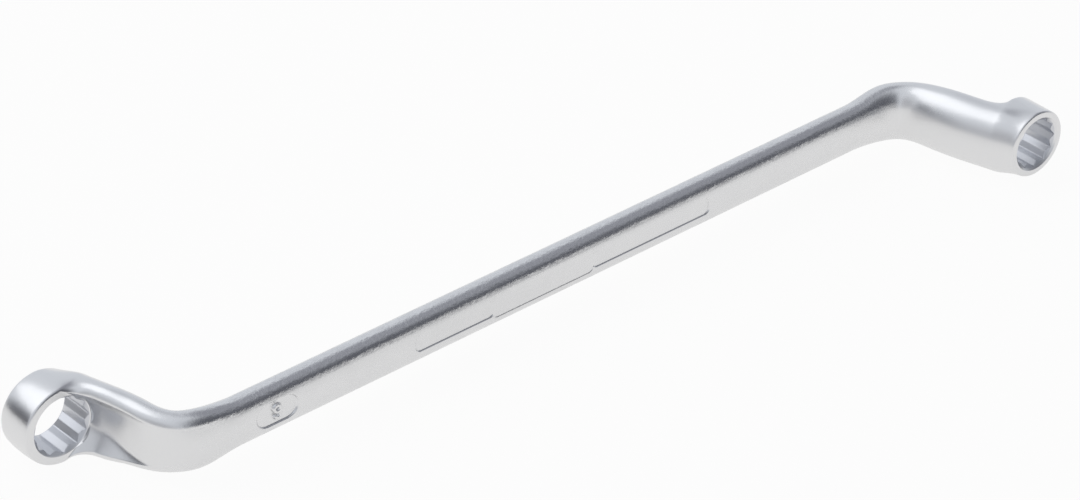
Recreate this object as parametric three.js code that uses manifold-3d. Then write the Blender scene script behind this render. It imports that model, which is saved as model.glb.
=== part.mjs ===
// Double-ended ring spanner, 8 x 9 mm, with two deep-offset heads and twelve-point sockets.
// One drop forging, divided at flat planes into the zones that a person would name.
// X runs along the shank towards the 8 mm head, Y is the socket axis, Z points up, and the spanner
// stands on edge with its larger ring on the plane Z = 0.
import * as THREE from "three";
import { mergeVertices } from "three/addons/utils/BufferGeometryUtils.js";
import Module from "manifold-3d";

// Whole spanner
const OVERALL_LENGTH = 189.4;
const NECK_LEAN = THREE.MathUtils.degToRad(73.2);
const KNEE_RADIUS = 8;
const CUT_OVERRUN = 2;

// Shank
const SHANK_THICKNESS = 5.1;
const SHANK_HEIGHT = 8.5;
const SHANK_SQUARENESS = 2.9;

// Knees, where the shank swells and turns into a neck
const SWELL_LENGTH = 9.5;
const KNEE_LEAD = 2.5;
const KNEE_SECTION = {
  middleReach: 2.65,
  edgeReach: 2.2,
  edgeHeight: 6.8,
  crownReach: -0.25,
  crownHeight: 10.8,
  backReach: 2.6,
  backSquareness: 2.1,
};

// Necks: a front face between two edges, dished towards the ring, and a round back
const NECK_REACHES = {
  middleReach: 1.5,
  edgeReach: 1.75,
  crownReach: -0.3,
  backReach: 2.3,
  backSquareness: 2.1,
};
const ROOT_REACHES = {
  middleReach: -0.1,
  edgeReach: 2,
  crownReach: -0.6,
  backReach: 1.9,
  backSquareness: 2.2,
};
const NECK_MIDDLE_SHARE = 0.5;
const ROOT_LEAD = 1.5;
const ROOT_COVER = 0.1;
const RIM_EDGE_SHARE = 0.97;
const TIP_INSET = 1.3;
const TIP_EDGE_LEAD = 2;
const TIP_EDGE_DROP = 0.4;
const TIP_CLEARANCE = 0.15;

// Ring heads
const MOUTH_CHAMFER = 0.3;
const RIM_LENGTH = 2.6;
const HEAD_9 = {
  mark: "9",
  acrossFlats: 9.1,
  ringRadius: 7.1,
  ringHeight: 7.1,
  innerRim: 0.7,
  outerRim: 0.65,
  faceOffset: 23.4,
  kneeReach: 9.9,
  neckHeight: 13.2,
  neckFaceHeight: 9.6,
  rootHeight: 12.9,
  rootFaceHeight: 10.8,
};
const HEAD_8 = {
  mark: "8",
  acrossFlats: 8.1,
  ringRadius: 6.2,
  ringHeight: 6.6,
  innerRim: 0.25,
  outerRim: 0.3,
  faceOffset: 25,
  kneeReach: 9.3,
  neckHeight: 12.5,
  neckFaceHeight: 8.4,
  rootHeight: 13.2,
  rootFaceHeight: 9.4,
};

// Recessed name panel, left bare, in three stretches
const PANEL_DEPTH = 0.25;
const PANEL_END_RADIUS = 1.2;
const PANEL_STRETCHES = [
  { from: -31.8, to: -15.2, height: 3.2 },
  { from: -15.6, to: 6.4, height: 4.4 },
  { from: 6, to: 32.4, height: 3.2 },
];

// Size marks, a raised digit in an oval recess beside each head
const MARK_TO_KNEE = 18.3;
const MARK_LENGTH = 8.2;
const MARK_HEIGHT = 4.4;
const MARK_DEPTH = 0.3;
const DIGIT_HEIGHT = 2.9;
const DIGIT_WIDTH = 1.8;
const DIGIT_STROKE = 0.5;

// Facets
const FACE_STEPS = 4;
const EDGE_STEPS = 4;
const BACK_STEPS = 7;
const SHANK_EDGE_TURN = Math.PI / 4;
const KNEE_STEPS = 12;
const NECK_STEPS = 5;
const FLARE_STEPS = 5;
const TIP_STEPS = 4;
const RING_STEPS = 64;
const RIM_STEPS = 5;
const ARC_STEPS = 8;

// Finish
const SATIN_CHROME = { color: 0xc6c6c8, roughness: 0.38, metalness: 1 };

const wasm = await Module();
wasm.setup();

// Solids and meshes

function solidOf(geometry) {
  const bare = geometry.clone();
  bare.deleteAttribute("normal");
  bare.deleteAttribute("uv");
  const merged = mergeVertices(bare, 1e-5);
  return new wasm.Manifold(
    new wasm.Mesh({
      numProp: 3,
      vertProperties: new Float32Array(merged.attributes.position.array),
      triVerts: new Uint32Array(merged.index.array),
    }),
  );
}

function geometryOf(solid) {
  const mesh = solid.getMesh();
  const geometry = new THREE.BufferGeometry();
  geometry.setAttribute("position", new THREE.BufferAttribute(mesh.vertProperties, 3));
  geometry.setIndex(new THREE.BufferAttribute(mesh.triVerts, 1));
  return geometry;
}

// A box between two corners, as a solid to keep or remove what lies inside it.
function boxBetween(low, high) {
  const size = new THREE.Vector3().subVectors(high, low);
  const centre = new THREE.Vector3().addVectors(low, high).multiplyScalar(1 / 2);
  const box = new THREE.BoxGeometry(size.x, size.y, size.z);
  return solidOf(box.translate(centre.x, centre.y, centre.z));
}

// A closed skin through rings of points that follow each other along a path, with a fan at each end.
function loft(rings) {
  const count = rings[0].length;
  const points = rings.flat();
  const faces = [];
  for (let ring = 0; ring + 1 < rings.length; ring += 1) {
    for (let i = 0; i < count; i += 1) {
      const a = ring * count + i;
      const b = ring * count + ((i + 1) % count);
      faces.push(a, b, b + count, a, b + count, a + count);
    }
  }
  for (const [ring, turn] of [[0, 1], [rings.length - 1, -1]]) {
    const hub = points.length;
    const middle = new THREE.Vector3();
    rings[ring].forEach((point) => middle.add(point));
    points.push(middle.divideScalar(count));
    for (let i = 0; i < count; i += 1) {
      const a = ring * count + i;
      const b = ring * count + ((i + 1) % count);
      faces.push(hub, turn > 0 ? b : a, turn > 0 ? a : b);
    }
  }
  const geometry = new THREE.BufferGeometry().setFromPoints(points);
  return geometry.setIndex(faces);
}

// The power at which a superellipse is an ellipse.
const ROUND = 2;

// Sections, as upper outlines from the middle of the front over the crown to the middle of the back

// A quarter of a superellipse, from 0 at its start to 1 at its end, in both directions.
function quarter(share, power) {
  const turn = (Math.PI / 2) * share;
  return { falling: Math.cos(turn) ** (2 / power), rising: Math.sin(turn) ** (2 / power) };
}

function steps(count) {
  return Array.from({ length: count }, (unused, i) => (i + 1) / count);
}

// The shank is one superellipse, walked with as many points as the neck has in each stretch.
function shankOutline() {
  const edge = SHANK_EDGE_TURN;
  const turns = [
    0,
    ...steps(FACE_STEPS).map((share) => edge * share),
    ...steps(EDGE_STEPS).map((share) => THREE.MathUtils.lerp(edge, Math.PI / 2, share)),
    ...steps(BACK_STEPS).map((share) => THREE.MathUtils.lerp(Math.PI / 2, Math.PI, share)),
  ];
  return turns.map((turn) => {
    const across = Math.cos(turn);
    const rise = Math.sin(turn);
    const power = SHANK_SQUARENESS;
    const scale = (Math.abs(across) ** power + Math.abs(rise) ** power) ** (-1 / power);
    return {
      across: (SHANK_THICKNESS / 2) * across * scale,
      rise: (SHANK_HEIGHT / 2) * rise * scale,
    };
  });
}

// The neck's front curves from its middle to its edge, then a round crown leads over to the back.
function neckOutline(section) {
  const { middleReach, edgeReach, crownReach, backReach, backSquareness } = section;
  const edge = section.edgeHeight / 2;
  const crown = section.crownHeight / 2;
  const face = steps(FACE_STEPS).map((share) => ({
    across: THREE.MathUtils.lerp(middleReach, edgeReach, share ** 2),
    rise: edge * share,
  }));
  const shoulder = steps(EDGE_STEPS).map((share) => {
    const { falling, rising } = quarter(share, ROUND);
    return {
      across: crownReach + (edgeReach - crownReach) * falling,
      rise: edge + (crown - edge) * rising,
    };
  });
  const back = steps(BACK_STEPS).map((share) => {
    const { falling, rising } = quarter(share, backSquareness);
    return { across: crownReach - (crownReach + backReach) * rising, rise: crown * falling };
  });
  return [{ across: middleReach, rise: 0 }, ...face, ...shoulder, ...back];
}

function blend(a, b, share) {
  const eased = THREE.MathUtils.smoothstep(share, 0, 1);
  return a.map((point, i) => ({
    across: THREE.MathUtils.lerp(point.across, b[i].across, eased),
    rise: THREE.MathUtils.lerp(point.rise, b[i].rise, eased),
  }));
}

// Places an outline and its mirror image square to the path, which turns from +X towards -Y.
function ringOf({ x, y, heading, outline }) {
  const lower = outline.slice(1, -1).map(({ across, rise }) => ({ across, rise: -rise }));
  return [...outline, ...lower.reverse()].map(
    ({ across, rise }) =>
      new THREE.Vector3(
        x + across * Math.sin(heading),
        y + across * Math.cos(heading),
        rise,
      ),
  );
}

// Heads, each built with its neck turning from the shank towards -Y and its ring at +X

function placesOf(head) {
  const ringX = OVERALL_LENGTH / 2 - head.ringRadius;
  const kneeX = ringX - head.kneeReach;
  const bendX = kneeX - KNEE_RADIUS * Math.tan(NECK_LEAN / 2);
  const innerFace = head.faceOffset - head.ringHeight;
  return { ringX, kneeX, bendX, innerFace, swellX: kneeX - KNEE_LEAD - SWELL_LENGTH };
}

// X of the neck's path at a depth towards -Y.
function neckX(head, depth) {
  return placesOf(head).kneeX + depth / Math.tan(NECK_LEAN);
}

// How far back a section at that depth reaches when it lies flush with the ring's wall.
function flushReach(head, depth) {
  const ringBack = placesOf(head).ringX - head.ringRadius - ROOT_COVER;
  return (neckX(head, depth) - ringBack) / Math.sin(NECK_LEAN);
}

function neckStation(head, depth, outline) {
  return { x: neckX(head, depth), y: -depth, heading: NECK_LEAN, outline };
}

// The neck's named sections and the depths at which it has them.
function sectionsOf(head) {
  const { innerFace } = placesOf(head);
  const rootDepth = innerFace - ROOT_LEAD;
  return {
    middleDepth: innerFace * NECK_MIDDLE_SHARE,
    middle: {
      ...NECK_REACHES,
      edgeHeight: head.neckFaceHeight,
      crownHeight: head.neckHeight,
    },
    rootDepth,
    root: {
      ...ROOT_REACHES,
      edgeHeight: head.rootFaceHeight,
      crownHeight: head.rootHeight,
      backReach: Math.max(ROOT_REACHES.backReach, flushReach(head, rootDepth)),
    },
  };
}

// The outline at a place between the start of the swell and the neck's root.
function outlineAt(head, x, depth) {
  const { kneeX, swellX } = placesOf(head);
  const { middleDepth, middle, rootDepth, root } = sectionsOf(head);
  const fullX = kneeX - KNEE_LEAD;
  const knee = neckOutline(KNEE_SECTION);
  if (x < fullX) return blend(shankOutline(), knee, (x - swellX) / (fullX - swellX));
  if (depth < middleDepth) return blend(knee, neckOutline(middle), depth / middleDepth);
  const share = (depth - middleDepth) / (rootDepth - middleDepth);
  return blend(neckOutline(middle), neckOutline(root), share);
}

// Stations along the swelling shank, round the bend and up the neck to its root.
function kneeStations(head) {
  const { bendX, swellX } = placesOf(head);
  const places = [0, 1 / 4, 1 / 2, 3 / 4].map((share) => ({
    x: THREE.MathUtils.lerp(swellX, bendX, share),
    depth: 0,
    heading: 0,
  }));
  for (let step = 0; step <= KNEE_STEPS; step += 1) {
    const heading = (NECK_LEAN * step) / KNEE_STEPS;
    const x = bendX + KNEE_RADIUS * Math.sin(heading);
    places.push({ x, depth: KNEE_RADIUS * (1 - Math.cos(heading)), heading });
  }
  const bendDepth = places.at(-1).depth;
  for (const share of steps(NECK_STEPS)) {
    const depth = THREE.MathUtils.lerp(bendDepth, sectionsOf(head).rootDepth, share);
    places.push({ x: neckX(head, depth), depth, heading: NECK_LEAN });
  }
  return places.map(({ x, depth, heading }) => {
    const outline = outlineAt(head, x, depth);
    return { x, y: -depth, heading, outline };
  });
}

// Stations where the front's edges curve outwards until they lie in the ring's inner face.
function flareStations(head) {
  const { ringX, innerFace } = placesOf(head);
  const { rootDepth, root } = sectionsOf(head);
  const rim = 2 * RIM_EDGE_SHARE * (head.ringRadius - head.innerRim);
  const faceReach = (ringX - neckX(head, innerFace)) * Math.sin(NECK_LEAN);
  const rootEdgeDepth = rootDepth - root.edgeReach * Math.cos(NECK_LEAN);
  return steps(FLARE_STEPS).map((share) => {
    const { falling, rising } = quarter(share, ROUND);
    const edgeReach = THREE.MathUtils.lerp(faceReach, root.edgeReach, falling);
    const edgeHeight = THREE.MathUtils.lerp(rim, root.edgeHeight, falling);
    const edgeDepth = THREE.MathUtils.lerp(rootEdgeDepth, innerFace, rising);
    const depth = edgeDepth + edgeReach * Math.cos(NECK_LEAN);
    const backReach = Math.max(root.backReach, flushReach(head, depth));
    const outline = neckOutline({ ...root, edgeReach, edgeHeight, backReach });
    return neckStation(head, depth, outline);
  });
}

// Stations in which the neck's last section turns into the back half of the ring.
function tipStations(head, start) {
  const depth = head.faceOffset - TIP_INSET;
  const radius = head.ringRadius - head.outerRim - TIP_CLEARANCE;
  const axisReach = (placesOf(head).ringX - neckX(head, depth)) / Math.sin(NECK_LEAN);
  const tip = neckOutline({
    middleReach: axisReach,
    edgeReach: axisReach + TIP_EDGE_LEAD,
    edgeHeight: 2 * (radius - TIP_EDGE_DROP),
    crownReach: axisReach,
    crownHeight: 2 * radius,
    backReach: radius / Math.sin(NECK_LEAN) - axisReach,
    backSquareness: ROUND,
  });
  return steps(TIP_STEPS).map((share) => {
    const place = THREE.MathUtils.lerp(-start.y, depth, share);
    return neckStation(head, place, blend(start.outline, tip, share));
  });
}

function stationsOf(head) {
  const flare = flareStations(head);
  return [...kneeStations(head), ...flare, ...tipStations(head, flare.at(-1))];
}

// The ring before its socket is cut, its wall crowned towards both faces.
function barrelOf(head) {
  const half = head.ringHeight / 2;
  const crowned = (rim, share) => {
    const { falling, rising } = quarter(share, ROUND);
    return [head.ringRadius - rim * (1 - falling), half - RIM_LENGTH * (1 - rising)];
  };
  const rounds = [0, ...steps(RIM_STEPS)];
  const outer = rounds.map((share) => crowned(head.outerRim, share));
  const inner = rounds.map((share) => crowned(head.innerRim, share));
  const profile = [
    new THREE.Vector2(0, -half),
    ...outer.reverse().map(([radius, height]) => new THREE.Vector2(radius, -height)),
    ...inner.map(([radius, height]) => new THREE.Vector2(radius, height)),
    new THREE.Vector2(0, half),
  ];
  const { ringX } = placesOf(head);
  const middleY = half - head.faceOffset;
  return new THREE.LatheGeometry(profile, RING_STEPS).translate(ringX, middleY, 0);
}

// The twelve-point socket: two hexagons turned by 30 degrees, run right through along Y.
function socketOf(head) {
  const { ringX } = placesOf(head);
  const cornerRadius = head.acrossFlats / Math.sqrt(3);
  const flankRadius = head.acrossFlats / 2 / Math.cos(Math.PI / 12);
  const outline = new THREE.Shape();
  const corners = 12;
  for (let i = 0; i < 2 * corners; i += 1) {
    const turn = (Math.PI * i) / corners;
    const radius = i % 2 ? flankRadius : cornerRadius;
    const point = [radius * Math.cos(turn), radius * Math.sin(turn)];
    if (i === 0) outline.moveTo(...point);
    else outline.lineTo(...point);
  }
  outline.closePath();
  const depth = head.faceOffset + CUT_OVERRUN;
  const star = new THREE.ExtrudeGeometry(outline, { depth, bevelEnabled: false });
  return solidOf(star.rotateX(Math.PI / 2).translate(ringX, 0, 0)).add(mouthChamfer(head));
}

// A cone that bevels the mouth in the outer face, running a little out of it.
function mouthChamfer(head) {
  const cornerRadius = head.acrossFlats / Math.sqrt(3);
  const wide = cornerRadius + MOUTH_CHAMFER + CUT_OVERRUN;
  const deep = cornerRadius - MOUTH_CHAMFER;
  const length = wide - deep;
  const cone = new THREE.CylinderGeometry(deep, wide, length, RING_STEPS);
  const middleY = length / 2 - CUT_OVERRUN - head.faceOffset;
  return solidOf(cone.translate(placesOf(head).ringX, middleY, 0));
}

// Neck and ring, lowered or turned to their end of the spanner and divided at the ring's inner face.
function headParts(head, placement) {
  const { ringX, innerFace, swellX } = placesOf(head);
  const placed = (geometry) => solidOf(geometry.applyMatrix4(placement));
  const limb = placed(loft(stationsOf(head).map(ringOf)));
  const socket = placed(geometryOf(socketOf(head)));
  const reach = ringX + head.ringRadius + CUT_OVERRUN;
  const corners = [
    new THREE.Vector3(swellX, -(head.faceOffset + CUT_OVERRUN), -OVERALL_LENGTH),
    new THREE.Vector3(reach, -innerFace, OVERALL_LENGTH),
  ].map((corner) => corner.applyMatrix4(placement));
  const zone = new THREE.Box3().setFromPoints(corners);
  const beyond = boxBetween(zone.min, zone.max);
  const root = limb.intersect(beyond);
  return {
    ring: root.add(placed(barrelOf(head))).subtract(socket),
    neck: limb.subtract(beyond).subtract(socket),
  };
}

// Marks on the flat sides of the shank

// A rounded rectangle in the plane of the side, X along the shank and Y up.
function roundedOutline(from, to, height, radius) {
  const top = height / 2;
  const outline = new THREE.Shape();
  outline.absarc(to - radius, top - radius, radius, 0, Math.PI / 2);
  outline.absarc(from + radius, top - radius, radius, Math.PI / 2, Math.PI);
  outline.absarc(from + radius, radius - top, radius, Math.PI, (3 * Math.PI) / 2);
  outline.absarc(to - radius, radius - top, radius, (3 * Math.PI) / 2, 2 * Math.PI);
  return outline;
}

// A solid over an outline, between two distances from the shank's middle plane, on its -Y side.
function sideSlab(outline, near, far) {
  const options = { depth: far - near, bevelEnabled: false, curveSegments: ARC_STEPS };
  const slab = new THREE.ExtrudeGeometry(outline, options);
  return solidOf(slab.rotateX(Math.PI / 2).translate(0, -near, 0));
}

// A stroke along an elliptical arc, as a closed outline.
function arcStroke(centreX, centreY, radiusX, radiusY, from, to) {
  const half = DIGIT_STROKE / 2;
  const outline = new THREE.Shape();
  outline.absellipse(centreX, centreY, radiusX + half, radiusY + half, from, to, false);
  outline.absellipse(centreX, centreY, radiusX - half, radiusY - half, to, from, true);
  outline.closePath();
  return outline;
}

// A digit from stacked loops: two closed loops for 8, a loop over an open hook for 9.
function digitOutlines(mark, centreX) {
  const radiusX = (DIGIT_WIDTH - DIGIT_STROKE) / 2;
  const radiusY = (DIGIT_HEIGHT - DIGIT_STROKE) / 4;
  const loop = (centreY) => {
    const ring = arcStroke(centreX, centreY, radiusX, radiusY, 0, Math.PI);
    const rest = arcStroke(centreX, centreY, radiusX, radiusY, Math.PI, 2 * Math.PI);
    return [ring, rest];
  };
  if (mark === "8") return [...loop(radiusY), ...loop(-radiusY)];
  const hook = arcStroke(centreX, 0, radiusX, 2 * radiusY, -(3 * Math.PI) / 4, 0);
  const stem = arcStroke(centreX, 0, radiusX, 2 * radiusY, 0, Math.PI / 4);
  return [...loop(radiusY), hook, stem];
}

// What is taken from the shank beside one head: the panel's recess and the size mark around its digit.
function sideCuts(head) {
  const side = SHANK_THICKNESS / 2;
  const far = side + CUT_OVERRUN;
  const markX = -(placesOf(head).kneeX - MARK_TO_KNEE);
  const half = MARK_LENGTH / 2;
  const oval = roundedOutline(markX - half, markX + half, MARK_HEIGHT, MARK_HEIGHT / 2);
  let mark = sideSlab(oval, side - MARK_DEPTH, far);
  for (const stroke of digitOutlines(head.mark, markX)) {
    mark = mark.subtract(sideSlab(stroke, side - MARK_DEPTH - CUT_OVERRUN, far + CUT_OVERRUN));
  }
  return PANEL_STRETCHES.reduce((cuts, { from, to, height }) => {
    const outline = roundedOutline(from, to, height, PANEL_END_RADIUS);
    return cuts.add(sideSlab(outline, side - PANEL_DEPTH, far));
  }, mark);
}

// The straight shank, with one head's marks on each side.
function shankSolid(lift) {
  const outline = shankOutline();
  const ends = [
    { x: -placesOf(HEAD_9).swellX, y: 0, heading: 0, outline },
    { x: placesOf(HEAD_8).swellX, y: 0, heading: 0, outline },
  ];
  const turned = new THREE.Matrix4().makeRotationZ(Math.PI);
  const placed = (solid, ...moves) => {
    const geometry = geometryOf(solid);
    moves.forEach((move) => geometry.applyMatrix4(move));
    return solidOf(geometry);
  };
  return solidOf(loft(ends.map(ringOf)).applyMatrix4(lift))
    .subtract(placed(sideCuts(HEAD_9), lift))
    .subtract(placed(sideCuts(HEAD_8), turned, lift));
}

// The spanner

function spanner() {
  const middleY = (HEAD_8.faceOffset - HEAD_9.faceOffset) / 2;
  const standingHeight = Math.max(HEAD_9.ringRadius, HEAD_8.ringRadius);
  const lift = new THREE.Matrix4().makeTranslation(0, middleY, standingHeight);
  const turned = lift.clone().multiply(new THREE.Matrix4().makeRotationZ(Math.PI));
  const end9 = headParts(HEAD_9, turned);
  const end8 = headParts(HEAD_8, lift);
  const zones = {
    ring_head_9: end9.ring,
    neck_9: end9.neck,
    shank: shankSolid(lift),
    neck_8: end8.neck,
    ring_head_8: end8.ring,
  };
  const group = new THREE.Group();
  for (const [name, solid] of Object.entries(zones)) {
    const mesh = new THREE.Mesh(geometryOf(solid), new THREE.MeshStandardMaterial(SATIN_CHROME));
    mesh.name = name;
    group.add(mesh);
  }
  return group;
}

export default spanner();
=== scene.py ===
"""Double-ended deep-offset ring spanner in satin chrome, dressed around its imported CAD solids.

Three pieces meet edge to edge: a head at each end, which is a ring with its neck, and the shank
between them. Lengths are millimetres until a mesh is made. X runs along the shank towards the
8 mm head, Y along the sockets and Z up.
"""

from __future__ import annotations

import logging
import math
from dataclasses import astuple, dataclass, field
from enum import Enum

import bpy
import numpy as np
from bpy.types import Material, Node, NodeSocket, NodeTree, Object
from mathutils import Matrix, Vector


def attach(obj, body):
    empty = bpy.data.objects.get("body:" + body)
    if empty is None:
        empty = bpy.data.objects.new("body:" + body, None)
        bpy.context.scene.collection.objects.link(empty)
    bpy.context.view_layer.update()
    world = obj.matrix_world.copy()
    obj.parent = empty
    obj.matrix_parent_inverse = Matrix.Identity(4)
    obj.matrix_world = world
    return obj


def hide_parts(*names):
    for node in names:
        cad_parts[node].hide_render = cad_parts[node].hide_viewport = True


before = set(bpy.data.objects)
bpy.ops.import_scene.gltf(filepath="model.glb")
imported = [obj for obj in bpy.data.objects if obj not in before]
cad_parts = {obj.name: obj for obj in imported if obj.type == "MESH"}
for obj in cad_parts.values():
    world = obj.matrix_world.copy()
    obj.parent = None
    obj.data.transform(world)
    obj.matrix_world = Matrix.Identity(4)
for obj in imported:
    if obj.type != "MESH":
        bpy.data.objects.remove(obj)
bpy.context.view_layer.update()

LOG = logging.getLogger("spanner")
METRES = 0.001
BODY = "root"
PICTURE_WIDTH = 1080
SENSOR_WIDTH = 36.0
SOCKET_POINTS = 12
TINY, LEAST = 1e-6, 1e-9
WHITE = (1.0, 1.0, 1.0, 1.0)

Array = np.ndarray
Colour = tuple[float, float, float]


# Shapes of curves


def ease(share: Array) -> Array:
    """Rises smoothly from 0 to 1, level at both ends: 3 s squared less 2 s cubed."""
    share = np.clip(share, 0.0, 1.0)
    return share * share * (3.0 - 2.0 * share)


def quarter(share: Array, power: float = 2.0, other: float = 2.0) -> tuple[Array, Array]:
    """Walks a quarter of a superellipse: cosine and sine, each to the power 2 / its own power.

    Args:
        share: how far along the quarter, from 0 to 1.
        power: the power of the coordinate that falls, 2 for an ellipse.
        other: the power of the coordinate that rises.

    Returns:
        The coordinate that falls from 1 to 0, and the one that rises from 0 to 1.
    """
    turn = np.clip(share, 0.0, 1.0) * (math.pi / 2)
    falling = np.clip(np.cos(turn), 0.0, 1.0) ** (2.0 / power)
    rising = np.sin(turn) ** (2.0 / other)
    return falling, rising


def hermite(share: Array, start: Array, start_slope: Array, end: Array, end_slope: Array) -> Array:
    """A cubic from start to end with the given slopes at its ends, per unit of share."""
    s2, s3 = share**2, share**3
    return (
        start * (2 * s3 - 3 * s2 + 1)
        + start_slope * (s3 - 2 * s2 + share)
        + end * (3 * s2 - 2 * s3)
        + end_slope * (s3 - s2)
    )


def spread(low: float, high: float, step: float) -> Array:
    """Even values from low up to but not including high, about step apart."""
    count = max(int(round((high - low) / step)), 1)
    return np.linspace(low, high, count, endpoint=False)


def away_from_zero(values: Array, least: float) -> Array:
    """The values, with the least in place of those that lie nearer to 0."""
    return np.where(np.abs(values) < least, least, values)


# Meshes


@dataclass
class Skin:
    """A mesh in the making: patches of points on grids, joined where their points coincide."""

    points: list[Array] = field(default_factory=list)
    faces: list[Array] = field(default_factory=list)
    count: int = 0

    def add_grid(self, grid: Array, around: bool = False) -> None:
        """Adds quads between neighbouring points of a grid.

        Args:
            grid: points, rows by columns by 3.
            around: whether the last column joins the first.
        """
        rows, columns = grid.shape[:2]
        index = np.arange(rows * columns).reshape(rows, columns) + self.count
        if around:
            index = np.concatenate([index, index[:, :1]], axis=1)
        corners = index[:-1, :-1], index[:-1, 1:], index[1:, 1:], index[1:, :-1]
        self.points.append(grid.reshape(-1, 3))
        self.faces.append(np.stack(corners, axis=-1).reshape(-1, 4))
        self.count += rows * columns

    def joined(self, near: float = 1e-4) -> tuple[Array, Array]:
        """Merges points that lie together.

        Args:
            near: the distance under which points are one.

        Returns:
            The points and the quads. A quad that has closed to a triangle repeats a corner.
        """
        points = np.concatenate(self.points)
        keys = np.round(points / near).astype(np.int64)
        _, first, inverse = np.unique(keys, axis=0, return_index=True, return_inverse=True)
        return points[first], inverse.reshape(-1)[np.concatenate(self.faces)]


def closed_tube(rows: Array) -> tuple[Array, Array]:
    """Draws a tube through loops of points, its ends drawn to their middles.

    Args:
        rows: the loops, one in each row.

    Returns:
        The points and the quads.
    """
    hubs = [np.broadcast_to(row.mean(axis=0), (1, *row.shape)) for row in (rows[0], rows[-1])]
    skin = Skin()
    skin.add_grid(np.concatenate([hubs[0], rows, hubs[1]]), around=True)
    return skin.joined()


def linked(name: str, data: bpy.types.ID) -> Object:
    """Makes an object from its data and links it to the scene."""
    made = bpy.data.objects.new(name, data)
    bpy.context.scene.collection.objects.link(made)
    return made


def mesh_object(name: str, points: Array, quads: Array) -> Object:
    """Makes an object at the origin from points in millimetres and quads.

    A corner that repeats the one before it is left out, so that a quad at a pole is a triangle,
    and a face with fewer than three corners left is dropped.

    Args:
        name: the object's and the mesh's name.
        points: one row for each point.
        quads: one row of four indices for each face.

    Returns:
        The object, linked to the scene.
    """
    kept = quads != np.roll(quads, 1, axis=1)
    crossed = (quads[:, 0] == quads[:, 2]) | (quads[:, 1] == quads[:, 3])
    whole = (kept.sum(axis=1) > 2) & ~crossed
    quads, kept = quads[whole], kept[whole]
    sizes = kept.sum(axis=1)
    mesh = bpy.data.meshes.new(name)
    for part, key, values in (
        (mesh.vertices, "co", (points * METRES).astype(np.float32)),
        (mesh.loops, "vertex_index", quads[kept].astype(np.int32)),
        (mesh.polygons, "loop_start", (np.cumsum(sizes) - sizes).astype(np.int32)),
    ):
        part.add(len(values))
        part.foreach_set(key, values.ravel())
    mesh.update(calc_edges=True)
    mesh.validate()
    return linked(name, mesh)


def smooth_by_angle(piece: Object, degrees: float) -> None:
    """Shades a piece smoothly, with hard edges where faces meet at more than that angle."""
    piece.data.shade_smooth()
    piece.data.set_sharp_from_angle(angle=math.radians(degrees))


def relax(points: Array, quads: Array, weight: Array, rounds: int) -> Array:
    """Rounds creases: moves each point towards the mean of its neighbours.

    Args:
        points: one row for each point.
        quads: one row of four indices for each face.
        weight: the share of the way that each point goes in a round.
        rounds: how often it goes.

    Returns:
        The moved points.
    """
    pairs = np.concatenate([quads[:, [i, (i + 1) % 4]] for i in range(4)])
    pairs = np.unique(np.sort(pairs[pairs[:, 0] != pairs[:, 1]], axis=1), axis=0)
    count = np.bincount(pairs.ravel(), minlength=len(points)).astype(float)
    moved = points.copy()
    for _ in range(rounds):
        total = np.zeros_like(moved)
        np.add.at(total, pairs[:, 0], moved[pairs[:, 1]])
        np.add.at(total, pairs[:, 1], moved[pairs[:, 0]])
        mean = total / np.maximum(count, 1.0)[:, None]
        moved += (mean - moved) * weight[:, None]
    return moved


def cut_with(piece: Object, cutter: Object) -> None:
    """Takes the cutter's solid out of the piece.

    Args:
        piece: the object that is cut.
        cutter: the closed object that is taken away, and then removed.
    """
    modifier = piece.modifiers.new("Cut", "BOOLEAN")
    modifier.operation = "DIFFERENCE"
    modifier.solver = "EXACT"
    modifier.object = cutter
    evaluated = piece.evaluated_get(bpy.context.evaluated_depsgraph_get())
    mesh = bpy.data.meshes.new_from_object(evaluated)
    piece.modifiers.clear()
    old = piece.data
    piece.data = mesh
    bpy.data.meshes.remove(old)
    mesh.name = piece.name
    bpy.data.objects.remove(cutter)


# Sizes that both ends share


@dataclass(frozen=True)
class Section:
    """A section across the neck. Reaches are measured towards the neck's front."""

    middle_reach: float
    edge_reach: float
    edge_height: float
    crown_reach: float
    crown_height: float
    back_reach: float

    def values(self) -> Array:
        """The section's numbers in the order of its fields."""
        return np.array(astuple(self))


# Places of a section's numbers among its values
EDGE_REACH, EDGE_HEIGHT, CROWN_HEIGHT, BACK_REACH = 1, 2, 4, 5


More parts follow.
